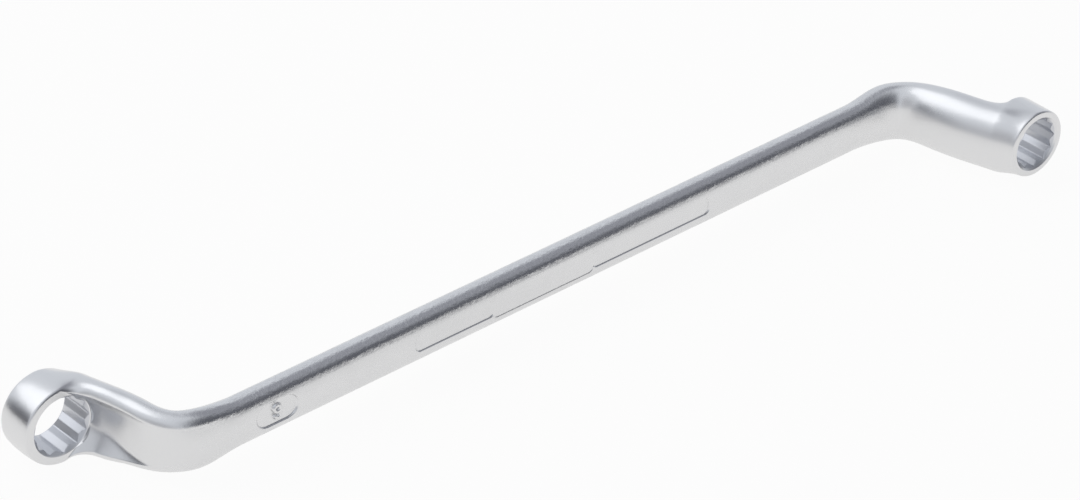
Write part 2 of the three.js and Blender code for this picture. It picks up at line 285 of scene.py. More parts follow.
@dataclass(frozen=True)
class Forging:
    """Sizes of the whole spanner and of the zones that both ends share.

    The last ones say how closely points lie: lengths of steps, and numbers of columns and rows.
    """

    overall_length: float = 189.4
    neck_lean: float = math.radians(73.2)
    bend_length: float = 13.5
    shank_thickness: float = 5.1
    shank_height: float = 8.5
    shank_squareness: float = 2.5
    swell_length: float = 9.5
    knee_lead: float = 2.5
    root_lead: float = 2.6
    root_cover: float = 0.1
    neck_middle_share: float = 0.5
    middle: tuple[float, float, float] = (0.0, 0.8, 7.1)
    knee: Section = Section(2.65, 2.2, 6.8, 0.0, 10.8, 3.0)
    flank_slope: float = 0.84
    flank_softness: float = 0.35
    path_step: float = 0.02
    path_past_bend: float = 25.0
    swell_step: float = 0.3
    neck_step: float = 0.25
    face_columns: int = 26
    shoulder_columns: int = 18
    back_columns: int = 28
    edge_crowding: float = 1.7
    flare_samples: int = 160
    flare_rows: int = 32
    wall_rows: int = 44
    wall_crowding: float = 0.6
    inner_rows: int = 24
    outer_rows: int = 16
    outer_crowding: float = 1.5

    def outline(self, sections: Array, shoulder: tuple[float, float]) -> Array:
        """Upper outlines of neck sections, from the middle of the front to the back's.

        The front is a parabola where its middle stands further out than its edge, and else a dish
        with a straight flank. A quarter superellipse leads to the crown and a quarter ellipse on
        to the back.

        Args:
            sections: the values of Section, one row for each outline.
            shoulder: the superellipse's powers, for reach and height.

        Returns:
            Reach and height of each point, rows by columns by 2.
        """
        middle, edge, edge_h, crown, crown_h, back = (c[:, None] for c in sections.T)
        edge_z, crown_z = edge_h / 2, crown_h / 2
        v = self.crowded(self.face_columns, at_end=True)[None, :]
        bulge = np.minimum(edge - middle, 0) * v**2
        reach = middle + bulge + self._flank(np.maximum(edge - middle, 0), edge_z, edge_z * v)
        face = np.stack([reach, edge_z * v], axis=-1)
        v = self.crowded(self.shoulder_columns, at_end=False)[None, 1:]
        falling, rising = quarter(v, *shoulder)
        shoulder_z = edge_z + (crown_z - edge_z) * rising
        shoulder = np.stack([crown + (edge - crown) * falling, shoulder_z], axis=-1)
        v = np.linspace(0, 1, self.back_columns + 1)[None, 1:]
        falling, rising = quarter(v)
        rear = np.stack([crown - (crown + back) * rising, crown_z * falling], axis=-1)
        return np.concatenate([face, shoulder, rear], axis=1)

    def _flank(self, depth: Array, edge_z: Array, z: Array) -> Array:
        """How far a dish rises from its middle: level, then a straight flank to the edge.

        The bend between them is half the sum of the distance past it and the root of the sum of
        the squares of that distance and a softness.

        Args:
            depth: how much deeper the dish's middle lies than its edge.
            edge_z: the edge's height.
            z: the heights wanted.

        Returns:
            The rise at each height.
        """
        start = edge_z - depth / self.flank_slope

        def bent(past: Array) -> Array:
            """Nothing well before the bend, and the distance itself well past it."""
            return (past + np.sqrt(past**2 + self.flank_softness**2)) / 2

        return depth * (bent(z - start) - bent(-start)) / (bent(edge_z - start) - bent(-start))

    def crowded(self, count: int, at_end: bool) -> Array:
        """Values from 0 to 1 that lie closer together beside the edge."""
        even = np.linspace(0, 1, count + 1)
        crowding = self.edge_crowding
        return 1 - (1 - even) ** crowding if at_end else even**crowding

    def shank_points(self, turn: Array) -> Array:
        """Points of the shank's superellipse.

        Args:
            turn: turns from its front.

        Returns:
            Reach and height of each point.
        """
        reach, rise = np.cos(turn), np.sin(turn)
        power = self.shank_squareness
        scale = (np.abs(reach) ** power + np.abs(rise) ** power) ** (-1 / power)
        thickness, height = self.shank_thickness / 2, self.shank_height / 2
        return np.stack([thickness * reach * scale, height * rise * scale], axis=-1)

    def shank_outline(self) -> Array:
        """The shank's superellipse, walked with the columns of a neck's outline.

        Returns:
            Reach and height of each point.
        """
        eighth = math.pi / 4
        face = self.crowded(self.face_columns, at_end=True) * eighth
        shoulder = eighth * (1 + self.crowded(self.shoulder_columns, at_end=False)[1:])
        back = np.linspace(math.pi / 2, math.pi, self.back_columns + 1)[1:]
        return self.shank_points(np.concatenate([face, shoulder, back]))

    @staticmethod
    def loop(upper: Array) -> Array:
        """Whole outlines from upper ones, with the lower half as their mirror image."""
        signs = np.append(np.ones(upper.shape[-1] - 1), -1.0)
        return np.concatenate([upper, upper[..., -2:0:-1, :] * signs], axis=-2)


FORGING = Forging()


@dataclass(frozen=True)
class Head:
    """One end of the spanner: a twelve-point ring and the neck that carries it.

    Points are worked out with the ring at +X and the neck turning towards -Y, and turned to
    their own end last.
    """

    name: str
    nodes: tuple[str, str]
    turned: bool
    across_flats: float
    ring_radius: float
    ring_height: float
    inner_rim: float
    outer_rim: float
    face_offset: float
    knee_reach: float
    middle: Section
    root: Section
    shoulder: tuple[float, float]
    rim_squareness: float = 2.4
    rim_fillet: float = 0.35
    mouth_chamfer: float = 0.35
    throat_chamfer: float = 0.5
    throat_lead: float = 3.0
    corner_softness: float = 0.02
    tip_inset: float = 0.35
    tip_slope: float = 0.5
    overrun: float = 2.0
    throat_lip: float = 0.1
    throat_band: float = 1.6
    mouth_band: float = 1.0
    band_gaps: tuple[float, float] = (0.4, 0.2)
    socket_rows: tuple[int, int, int] = (18, 5, 14)
    point_columns: int = 24
    slope_gap: float = 0.01
    behind_angle: float = math.radians(30)
    edge_lead: float = 1.0
    edge_fade: float = 6.0
    edge_weight: float = 0.6
    edge_rounds: int = 10
    hard_edge: float = 32.0

    # Places

    @property
    def ring_x(self) -> float:
        """X of the socket's axis."""
        return FORGING.overall_length / 2 - self.ring_radius

    @property
    def knee_x(self) -> float:
        """X at which the neck's middle line would meet the shank's."""
        return self.ring_x - self.knee_reach

    @property
    def swell_x(self) -> float:
        """X at which the shank starts to swell."""
        return self.knee_x - FORGING.knee_lead - FORGING.swell_length

    @property
    def corner_radius(self) -> float:
        """Radius to the socket's corners."""
        return self.across_flats / math.sqrt(3)

    @property
    def inner_face(self) -> float:
        """Depth of the ring's inner face, towards -Y."""
        return self.face_offset - self.ring_height

    def neck_x(self, depth: Array) -> Array:
        """X of the neck's middle line at a depth towards -Y."""
        return self.knee_x + depth / math.tan(FORGING.neck_lean)

    def flush_reach(self, depth: Array) -> Array:
        """How far back a section at that depth reaches when it is flush with the ring's wall."""
        ring_back = self.ring_x - self.ring_radius - FORGING.root_cover
        return (self.neck_x(depth) - ring_back) / math.sin(FORGING.neck_lean)

    def path(self) -> tuple[Array, Array, Array, Array]:
        """The neck's middle line: straight, round the bend, then straight up the neck.

        The heading eases from 0 to the neck's lean along the bend, and X and depth are the sums
        of its cosine and sine over short steps. Both straight stretches point at the knee.

        Returns:
            Distances from where the shank starts to swell, and X, depth and heading at each.
        """
        shape = FORGING
        lean, length, step = shape.neck_lean, shape.bend_length, shape.path_step
        bend = np.arange(0, length + shape.path_past_bend, step)
        heading = lean * ease(bend / length)
        between = heading[:-1] + np.diff(heading) / 2
        steps = np.cos(between) * step, np.sin(between) * step
        x, depth = (np.append(0, np.cumsum(part)) for part in steps)
        x += self.knee_x - (x[-1] - depth[-1] / math.tan(lean))
        straight = np.arange(0, x[0] - self.swell_x, step)
        along = np.concatenate([straight, x[0] - self.swell_x + bend])
        x = np.concatenate([self.swell_x + straight, x])
        depth, heading = (np.pad(line, (len(straight), 0)) for line in (depth, heading))
        return along, x, depth, heading

    # Rows of the neck

    def placed(self, x: Array, depth: Array, heading: Array, loops: Array) -> Array:
        """Sets outlines square to the middle line.

        Args:
            x: X of each outline's place on the middle line.
            depth: the place's depth.
            heading: the middle line's heading there.
            loops: reach and height of each outline's points.

        Returns:
            Points, rows by columns by 3.
        """
        reach, rise = loops[..., 0], loops[..., 1]
        px = x[:, None] + reach * np.sin(heading)[:, None]
        py = -depth[:, None] + reach * np.cos(heading)[:, None]
        return np.stack([px, py, rise], axis=-1)

    @property
    def root_depth(self) -> float:
        """Depth of the neck's root, a little short of the ring's inner face."""
        return self.inner_face - FORGING.root_lead

    def root_values(self) -> Array:
        """The root section's numbers, with its back at least flush with the ring."""
        values = self.root.values()
        values[BACK_REACH] = max(values[BACK_REACH], float(self.flush_reach(self.root_depth)))
        return values

    def neck_rows(self) -> Array:
        """Sections from the swell to the neck's root, as whole loops of points.

        Returns:
            Points, rows by columns by 3.
        """
        shape = FORGING
        fine, x, depth, heading = self.path()
        full = float(np.interp(self.knee_x - shape.knee_lead, x, fine))
        half_way = float(np.interp(self.inner_face * shape.neck_middle_share, depth, fine))
        end = float(np.interp(self.root_depth, depth, fine))
        swell, neck = spread(0, full, shape.swell_step), spread(full, end, shape.neck_step)
        along = np.concatenate([swell, neck, [end]])

        knee, middle, root = shape.knee.values(), self.middle.values(), self.root_values()
        slope = (root - knee) / (end - full)
        share = np.clip((along - full) / (half_way - full), 0, 1)[:, None]
        lower = hermite(share, knee, 0 * knee, middle, slope * (half_way - full))
        share = np.clip((along - half_way) / (end - half_way), 0, 1)[:, None]
        upper = hermite(share, middle, slope * (end - half_way), root, 0 * root)
        sections = np.where((along < half_way)[:, None], lower, upper)
        outlines = shape.outline(sections, self.shoulder)
        swell = ease(along / full)[:, None, None]
        outlines = shape.shank_outline()[None] * (1 - swell) + outlines * swell
        places = (np.interp(along, fine, line) for line in (x, depth, heading))
        return self.placed(*places, shape.loop(outlines))

    def flare_rows(self) -> Array:
        """Sections whose edges curve outwards until they lie in the ring's inner face.

        The edge follows a quarter ellipse from the root to the point beside the socket's axis.
        Across the front, each column ends where it meets the ring's inner face.

        Returns:
            Points, rows by columns by 3.
        """
        lean = FORGING.neck_lean
        root = self.root_values()
        tip = root.copy()
        tip[EDGE_REACH] = (self.ring_x - self.neck_x(self.inner_face)) * math.sin(lean)
        tip[EDGE_HEIGHT] = 2 * (self.ring_radius - self.inner_rim)
        tip[CROWN_HEIGHT] = 2 * self.wall_radius(self.inner_face)
        last = FORGING.flare_samples
        falling, rising = quarter(np.linspace(0, 1, last + 1))
        sections = tip + (root - tip) * falling[:, None]
        edge_depth = self.root_depth - root[EDGE_REACH] * math.cos(lean)
        depth = edge_depth + (self.inner_face - edge_depth) * rising
        depth += sections[:, EDGE_REACH] * math.cos(lean)
        sections[:, BACK_REACH] += np.maximum(self.flush_reach(depth) - root[BACK_REACH], 0)
        upper = FORGING.outline(sections, self.shoulder)
        fine = self.placed(self.neck_x(depth), depth, np.full_like(depth, lean), upper)
        ends = self._ends_of_columns(fine)
        wanted = np.linspace(0, 1, FORGING.flare_rows + 1)[1:, None] * ends[None] * last
        low = np.minimum(wanted.astype(int), last - 1)
        part = (wanted - low)[..., None]
        column = np.arange(fine.shape[1])[None]
        rows = fine[low, column] * (1 - part) + fine[low + 1, column] * part
        return FORGING.loop(rows)

    def _ends_of_columns(self, fine: Array) -> Array:
        """Where each front column reaches the ring's inner face.

        Args:
            fine: the flare's upper outlines, one in each row.

        Returns:
            A share of the rows for each column.
        """
        ends = np.ones(fine.shape[1])
        front = -fine[:, : FORGING.face_columns, 1]
        beyond = np.argmax(front > self.inner_face, axis=0)
        column = np.arange(front.shape[1])
        before, after = front[beyond - 1, column], front[beyond, column]
        exact = beyond - 1 + (self.inner_face - before) / (after - before)
        ends[: FORGING.face_columns] = exact / (len(fine) - 1)
        return ends

    # The ring

    def wall_radius(self, depth: Array) -> Array:
        """The ring's crowned wall without its fillets, full in the middle.

        Args:
            depth: depths towards -Y.

        Returns:
            The radius at each depth.
        """
        half = self.ring_height / 2
        off = (depth - self.inner_face - half) / half
        rim = np.where(off < 0, self.inner_rim, self.outer_rim)
        crown = np.maximum(rim - self.rim_fillet, 0)
        return self.ring_radius - crown * np.abs(off) ** self.rim_squareness

    @staticmethod
    def _fillet(gap: Array, radius: Array) -> Array:
        """How much a quarter circle takes off the wall at a distance from one of its faces."""
        return radius - np.sqrt(radius**2 - np.clip(radius - gap, 0, radius) ** 2)

    def ring_top(self, last_row: Array) -> Array:
        """The upper rim of the ring's wall as one loop of points.

        Args:
            last_row: the neck's last loop, from which its shoulders and back are taken.

        Returns:
            Points from the upper edge over the back to the lower edge, then round the free side.
        """
        face = FORGING.face_columns
        neck_side = last_row[face : len(last_row) - face + 1]
        turn = np.linspace(-math.pi / 2, math.pi / 2, 2 * face + 1)[1:-1]
        radius = self.ring_radius - self.inner_rim
        level = np.full_like(turn, -self.inner_face)
        free = [self.ring_x + radius * np.cos(turn), level, radius * np.sin(turn)]
        return np.concatenate([neck_side, np.stack(free, axis=-1)])

    def wall_rows(self, top: Array, before: Array) -> Array:
        """The ring's wall from its upper rim down to the outer face.

        Each column keeps its angle about the socket's axis. Its radius is the ring's own crowned
        radius, less the fillets at both faces, plus a cubic that starts at what the neck stands
        proud, with the neck's slope, and ends at nothing near the tip. The inner fillet is as
        deep as the rim lies within the wall. Nothing stands higher than the ring.

        Args:
            top: the wall's upper rim.
            before: the row of the neck's side above that rim, for its slope.

        Returns:
            Points, rows by columns by 3.
        """
        dx, z = top[:, 0] - self.ring_x, top[:, 2]
        angle, radius = np.arctan2(z, dx), np.hypot(dx, z)
        depth = -top[:, 1]
        even = 2 * math.pi * np.linspace(0, 1, FORGING.wall_rows + 1)[:, None]
        share = (even - FORGING.wall_crowding * np.sin(even)) / (2 * math.pi)
        at = depth + share * (self.face_offset - depth)
        length = self.face_offset - self.tip_inset - depth
        down = np.clip((at - depth) / length, 0, 1)
        proud = radius - self.wall_radius(depth)
        inner = self._fillet(at - depth, np.clip(-proud, 0, self.rim_fillet))
        outer = self._fillet(self.face_offset - at, min(self.rim_fillet, self.outer_rim))
        proud = np.maximum(proud, 0)
        slope = self._slope(top, before, angle, depth) * length
        extra = hermite(down, proud, slope, 0.0, -self.tip_slope * proud)
        cos, sin = np.cos(angle), np.sin(angle)
        highest = self.ring_radius / np.maximum(np.abs(sin), TINY)
        r = np.minimum(self.wall_radius(at) + extra - inner - outer, highest)
        return np.stack([self.ring_x + r * cos, -at, r * sin], axis=-1)

    def _slope(self, top: Array, before: Array, angle: Array, depth: Array) -> Array:
        """Slope of what stands proud, against depth at one angle, where the neck meets the ring.

        Args:
            top: the wall's upper rim.
            before: the row of the neck's side above that rim.
            angle: the angle of each point of the rim.
            depth: the depth of each.

        Returns:
            The slope for each column, which is nothing on the free side.
        """
        count, gap = len(before), self.slope_gap
        own = (self.wall_radius(depth + gap) - self.wall_radius(depth - gap)) / (2 * gap)
        turn = angle[:count]
        cos, sin = np.cos(turn), np.sin(turn)

        def polar(step: Array) -> tuple[Array, Array, Array]:
            """Outward, sideways and downward parts of a step."""
            outward = step[:, 0] * cos + step[:, 2] * sin
            return outward, step[:, 2] * cos - step[:, 0] * sin, -step[:, 1]

        row_out, row_side, row_down = polar(top[:count] - before)
        out, side, down = polar(np.gradient(top[:count], axis=0))
        share = -row_side / away_from_zero(side, LEAST)
        slope = (row_out + share * out) / away_from_zero(row_down + share * down, TINY)
        behind = ease((np.abs(turn) - math.pi / 2) / self.behind_angle)
        proud = np.zeros_like(own)
        proud[:count] = (np.clip(slope, -1, 1) - own[:count]) * behind
        return proud

    def inner_rows(self, last_row: Array, top: Array) -> Array:
        """The ring's inner face, flat between the neck's front and the free part of the rim.

        Args:
            last_row: the neck's last loop.
            top: the wall's upper rim.

        Returns:
            Points, rows by columns by 3.
        """
        face = FORGING.face_columns
        front = np.concatenate([last_row[-face:], last_row[: face + 1]])
        rim = np.concatenate([front[:1], top[len(last_row) - 2 * face + 1 :], front[-1:]])
        share = FORGING.crowded(FORGING.inner_rows, at_end=True)[:, None, None]
        return front * (1 - share) + rim * share

    def outer_rows(self, rim: Array) -> Array:
        """The ring's outer face: the wall's lower rim drawn in to the axis.

        Args:
            rim: the wall's lower rim.

        Returns:
            Points, rows by columns by 3.
        """
        centre = np.array([self.ring_x, -self.face_offset, 0.0])
        even = np.linspace(0, 1, FORGING.outer_rows + 1)
        share = even[:, None, None] ** FORGING.outer_crowding
        return rim + (centre - rim) * share

    def skin(self) -> tuple[Array, Array]:
        """The head before its socket is cut, with its rims and edges rounded.

        Returns:
            The points, before they are turned to the head's own end, and the quads.
        """
        rows = np.concatenate([self.neck_rows(), self.flare_rows()])
        face = FORGING.face_columns
        top = self.ring_top(rows[-1])
        before = rows[-2][face : rows.shape[1] - face + 1]
        wall = self.wall_rows(top, before)
        hub = np.broadcast_to(rows[0].mean(axis=0), rows[0].shape)
        skin = Skin()
        skin.add_grid(np.stack([hub, rows[0]]), around=True)
        skin.add_grid(rows, around=True)
        skin.add_grid(wall, around=True)
        skin.add_grid(self.inner_rows(rows[-1], top))
        skin.add_grid(self.outer_rows(wall[-1]), around=True)
        points, quads = skin.joined()
        return relax(points, quads, self.softness(points), self.edge_rounds), quads

    def softness(self, points: Array) -> Array:
        """How far each point may move when edges are rounded: not at the cut to the shank."""
        past = points[:, 0] - self.swell_x - self.edge_lead
        return self.edge_weight * ease(past / self.edge_fade)

    def socket(self) -> Object:
        """The twelve-point socket as a solid that runs right through, wider at both mouths.

        Its radius is half the size across flats over the cosine of 30 degrees less the angle
        from the nearest corner, and that angle is a triangle wave with rounded peaks. At each
        mouth it is at least a cone's, and where the neck's front stands in the way a cylinder's.

        Returns:
            The cutter, in the part's frame.
        """
        count = SOCKET_POINTS
        turn = np.linspace(0, 2 * math.pi, count * self.point_columns, endpoint=False)
        wave = np.arccos((1 - self.corner_softness) * np.cos(count * turn)) / count
        radius = self.across_flats / 2 / np.cos(math.pi / 6 - wave)
        corner, top, face = self.corner_radius, self.inner_face, self.face_offset
        start, low, high = top - self.throat_lead, top + self.throat_band, face - self.mouth_band
        starts = top - self.throat_lip, low + self.band_gaps[0], high
        ends = low, high - self.band_gaps[1], face + self.mouth_chamfer
        bands = [np.linspace(*band) for band in zip(starts, ends, self.socket_rows)]
        depth = np.concatenate([[start - self.overrun, start], *bands])
        throat = np.minimum(top - depth, 0) + corner + self.throat_chamfer
        mouth = corner + self.mouth_chamfer - (face - depth)
        wide = np.maximum(radius, np.maximum(throat, mouth)[:, None])
        x = self.ring_x + wide * np.cos(turn)
        y = np.broadcast_to(-depth[:, None], wide.shape)
        points, quads = closed_tube(np.stack([x, y, wide * np.sin(turn)], axis=-1))
        return mesh_object(f"{self.name}_socket", self.in_part_frame(points), quads)

    def in_part_frame(self, points: Array) -> Array:
        """Points turned to the head's own end and lifted to where the spanner stands."""
        sides = np.array([-1.0, -1.0, 1.0]) if self.turned else np.ones(3)
        return points * sides + FORGING.middle

    def build(self) -> Object:
        """Makes the head's mesh with its socket cut out.

        Returns:
            The head's object.
        """
        points, quads = self.skin()
        piece = mesh_object(self.name, self.in_part_frame(points), quads)
        cut_with(piece, self.socket())
        smooth_by_angle(piece, self.hard_edge)
        return piece


def rounded_box(x: Array, z: Array, half_x: float, half_z: float, corner: float) -> Array:
    """Signed distance from a rounded rectangle: from the inner box, less the corner's radius.

    Args:
        x, z: the points, measured from its middle.
        half_x, half_z: half its length and height.
        corner: its corners' radius.

    Returns:
        The distance of each point, negative inside.
    """
    over_x, over_z = np.abs(x) - (half_x - corner), np.abs(z) - (half_z - corner)
    outside = np.hypot(np.maximum(over_x, 0), np.maximum(over_z, 0))
    return outside + np.minimum(np.maximum(over_x, over_z), 0) - corner


def fall(distance: Array, width: float) -> Array:
    """Falls from 1 inside to 0 outside, over a width that is centred on distance 0."""
    return 1 - ease(distance / width + 0.5)


@dataclass(frozen=True)
class Stretch:
    """One stretch of the recessed name panel."""

    start: float
    end: float
    height: float


@dataclass(frozen=True)
class Shank:
    """The straight middle, with a recessed panel and a size mark on each flat side."""

    name: str = "shank_skin"
    node: str = "shank"
    start: float = -65.7
    end: float = 67.2
    panel_depth: float = 0.32
    panel_corner: float = 1.2
    panel: tuple[Stretch, ...] = (
        Stretch(-31.8, -15.2, 3.2),
        Stretch(-15.6, 6.4, 4.4),
        Stretch(6.0, 32.4, 3.2),
    )
    mark_9_x: float = -59.8
    mark_8_x: float = -60.9
    mark_length: float = 8.2
    mark_height: float = 4.4
    mark_depth: float = 0.5
    mark_wall: float = 0.4
    digit_height: float = 2.9
    digit_width: float = 1.8
    digit_stroke: float = 0.6
    wall: float = 0.22
    least_cut: float = 1e-4
    flat_height: float = 3.7
    flat_columns: int = 83
    rim_columns: int = 25
    loop_points: int = 90
    hook_points: int = 60
    fine_step: float = 0.14
    coarse_every: int = 5
    leads: tuple[float, float] = (0.7, 0.4)
    end_reach: float = 1.7
    step_reach: float = 1.5
    mark_reach: float = 4.6
    hard_edge: float = 50.0

    def turns(self) -> Array:
        """Places the columns: close together across the flat sides.

        Returns:
            The turn of each column round the section.
        """
        half_height, power = FORGING.shank_height / 2, FORGING.shank_squareness
        z = np.linspace(-self.flat_height, self.flat_height, self.flat_columns)
        across = (1 - np.abs(z / half_height) ** power) ** (1 / power)
        front = np.arctan2(z / half_height, across)
        rim = np.linspace(front[-1], math.pi - front[-1], self.rim_columns)[1:-1]
        return np.concatenate([front, rim, front + math.pi, rim + math.pi])

    def stations(self) -> Array:
        """Places the rows: close together at the panel's ends and steps and along the marks.

        Returns:
            X of each row.
        """
        steps = [(a.end + b.start) / 2 for a, b in zip(self.panel, self.panel[1:])]
        places = [(at, self.end_reach) for at in (self.panel[0].start, self.panel[-1].end)]
        places += [(at, self.step_reach) for at in steps]
        places += [(-at, reach) for at, reach in places]
        places += [(at, self.mark_reach) for at in (self.mark_9_x, -self.mark_8_x)]
        fine = np.arange(self.start + self.leads[0], self.end - self.leads[1], self.fine_step)
        near = np.zeros_like(fine, dtype=bool)
        for at, reach in places:
            near |= np.abs(fine - at) < reach
        keep = near | (np.arange(len(fine)) % self.coarse_every == 0)
        return np.concatenate([[self.start], fine[keep], [self.end]])

    def _panel_distance(self, x: Array, z: Array) -> Array:
        """Distance from the edge of the panel's three stretches together.

        Args:
            x, z: the points.

        Returns:
            The distance of each point, negative inside.
        """
        nearest = np.full(np.broadcast(x, z).shape, np.inf)
        for part in self.panel:
            middle, half = (part.start + part.end) / 2, (part.end - part.start) / 2
            box = rounded_box(x - middle, z, half, part.height / 2, self.panel_corner)
            nearest = np.minimum(nearest, box)
        return nearest

    def _digit_distance(self, x: Array, z: Array, mark: str) -> Array:
        """Distance from a digit's strokes: two loops for 8, a loop over an open hook for 9.

        Args:
            x, z: the points, measured from the mark's middle.
            mark: the digit.

        Returns:
            The distance of each point, negative inside a stroke.
        """
        wide = (self.digit_width - self.digit_stroke) / 2
        tall = (self.digit_height - self.digit_stroke) / 4
        full = np.linspace(0, 2 * math.pi, self.loop_points)
        upper = np.stack([wide * np.cos(full), tall + tall * np.sin(full)], axis=-1)
        hook = np.linspace(-3 * math.pi / 4, math.pi / 4, self.hook_points)
        side = np.stack([wide * np.cos(hook), 2 * tall * np.sin(hook)], axis=-1)
        rest = upper * np.array([1.0, -1.0]) if mark == "8" else side
        strokes = np.concatenate([upper, rest])
        gap = np.hypot(x[..., None] - strokes[:, 0], z[..., None] - strokes[:, 1])
        return gap.min(axis=-1) - self.digit_stroke / 2

    def _recess(self, x: Array, z: Array, mark_x: float, mark: str) -> Array:
        """How deep one flat side is cut, under the shank's greatest width.

        Args:
            x, z: the points, as seen from that side.
            mark_x: X of the size mark's middle.
            mark: its digit.

        Returns:
            The depth at each point.
        """
        panel = self.panel_depth * fall(self._panel_distance(x, z), self.wall)
        half, high = self.mark_length / 2, self.mark_height / 2
        box = rounded_box(x - mark_x, z, half, high, high)
        floor = self.mark_depth * fall(box, self.mark_wall)
        rows = (np.abs(x - mark_x) < half).any(axis=1)
        digit = self._digit_distance(x[rows] - mark_x, z[rows], mark)
        floor[rows] *= 1 - fall(digit, self.wall)
        return np.maximum(panel, floor)

    def build(self) -> Object:
        """Makes the shank's mesh: its section along X, with both flat sides pressed in.

        Returns:
            The shank's object.
        """
        turns, x = self.turns(), self.stations()
        section = FORGING.shank_points(turns)
        across = np.broadcast_to(section[:, 0], (len(x), len(turns))).copy()
        z = np.broadcast_to(section[:, 1], across.shape)
        long = np.broadcast_to(x[:, None], across.shape)
        side = FORGING.shank_thickness / 2
        flat = np.abs(section[:, 1]) <= self.flat_height + TINY
        for sign, mark_x, mark in ((-1.0, self.mark_9_x, "9"), (1.0, self.mark_8_x, "8")):
            columns = flat & (section[:, 0] * sign > 0)
            # Seen from its own side, X runs to the right on one side and to the left on the other.
            depth = self._recess(-sign * long[:, columns], z[:, columns], mark_x, mark)
            own = np.abs(across[:, columns])
            cut = np.where(depth > self.least_cut, np.minimum(own, side - depth), own)
            across[:, columns] = sign * cut
        points, quads = closed_tube(np.stack([long, across, z], axis=-1))
        piece = mesh_object(self.name, points + FORGING.middle, quads)
        smooth_by_angle(piece, self.hard_edge)
        return piece


HEAD_9 = Head(
    name="head_9",
    nodes=("ring_head_9", "neck_9"),
    turned=True,
    across_flats=9.1,
    ring_radius=7.1,
    ring_height=7.1,
    inner_rim=0.55,
    outer_rim=0.65,
    face_offset=23.4,
    knee_reach=9.9,
    middle=Section(0.8, 1.75, 9.4, -0.3, 12.6, 3.9),
    root=Section(-0.2, 2.0, 10.4, 0.3, 13.7, 3.9),
    shoulder=(2.1, 1.7),
    throat_chamfer=0.15,
)
HEAD_8 = Head(
    name="head_8",
    nodes=("ring_head_8", "neck_8"),
    turned=False,
    across_flats=8.1,
    ring_radius=6.2,
    ring_height=6.6,
    inner_rim=0.25,
    outer_rim=0.3,
    face_offset=25.0,
    knee_reach=9.3,
    middle=Section(0.8, 1.75, 8.4, 0.4, 12.3, 4.3),
    root=Section(0.1, 1.7, 8.6, 0.2, 12.3, 4.8),
    shoulder=(2.5, 2.5),
    throat_chamfer=0.1,
)
SHANK = Shank()


# Finishes


class Coordinates(Enum):
    """Which coordinates a pattern follows."""

    OBJECT = "Object"
    GENERATED = "Generated"


@dataclass
class Tree:
    """A node tree in the making, with short ways to add and join its nodes."""

    tree: NodeTree

    def add(self, kind: str, **settings: object) -> Node:
        """Adds a node.

        Args:
            kind: the node's type.
            settings: values of its properties, by name.

        Returns:
            The node.
        """
        made = self.tree.nodes.new(kind)
        for name, value in settings.items():
            setattr(made, name, value)
        return made

    def fill(self, node: Node, **inputs: object) -> Node:
        """Sets a node's sockets, or joins them to the sockets that are given.

        Args:
            node: the node.
            inputs: values or output sockets by socket name, with _ for a space and a number
                after "at" for the socket's place.

        Returns:
            The same node.
        """
        for name, value in inputs.items():
            key = int(name[2:]) if name.startswith("at") else name.replace("_", " ")
            socket = node.inputs[key]
            if isinstance(value, NodeSocket):
                self.tree.links.new(value, socket)
            else:
                socket.default_value = value
        return node

    def math(self, operation: str, first: object, second: object = 0.0) -> NodeSocket:
        """The result of a Math node."""
        node = self.add("ShaderNodeMath", operation=operation)
        return self.fill(node, at0=first, at1=second).outputs[0]

    def vectors(self, operation: str, first: object, second: object) -> bpy.types.NodeOutputs:
        """The outputs of a Vector Math node."""
        node = self.add("ShaderNodeVectorMath", operation=operation)
        return self.fill(node, at0=first, at1=second).outputs

    def weighed(self, *parts: tuple[NodeSocket, float]) -> NodeSocket:
        """The sum of two values, each times its weight."""
        return self.math("ADD", *(self.math("MULTIPLY", *part) for part in parts))

    def ramp(self, value: object, low: float, high: float, start: float, end: float) -> NodeSocket:
        """A smooth step from start to end as the value goes from low to high."""
        node = self.add("ShaderNodeMapRange", interpolation_type="SMOOTHSTEP")
        sockets = {"Value": value, "From_Min": low, "From_Max": high}
        return self.fill(node, **sockets, To_Min=start, To_Max=end).outputs["Result"]

    def blend(self, share: object, first: object, second: object) -> NodeSocket:
        """A colour between two, by a share."""
        node = self.add("ShaderNodeMix", data_type="RGBA")
        return self.fill(node, at0=share, at6=first, at7=second).outputs[2]

    def noise(self, vector: NodeSocket, scale: NodeSocket, detail: float) -> NodeSocket:
        """The value of a Noise Texture node."""
        node = self.add("ShaderNodeTexNoise")
        return self.fill(node, Vector=vector, Scale=scale, Detail=detail).outputs["Fac"]


def new_material(name: str) -> tuple[Material, Tree, Node]:
    """Makes a material and hands it over with its node tree and its shader."""
    made = bpy.data.materials.new(name)
    made.use_nodes = True
    return made, Tree(made.node_tree), made.node_tree.nodes["Principled BSDF"]


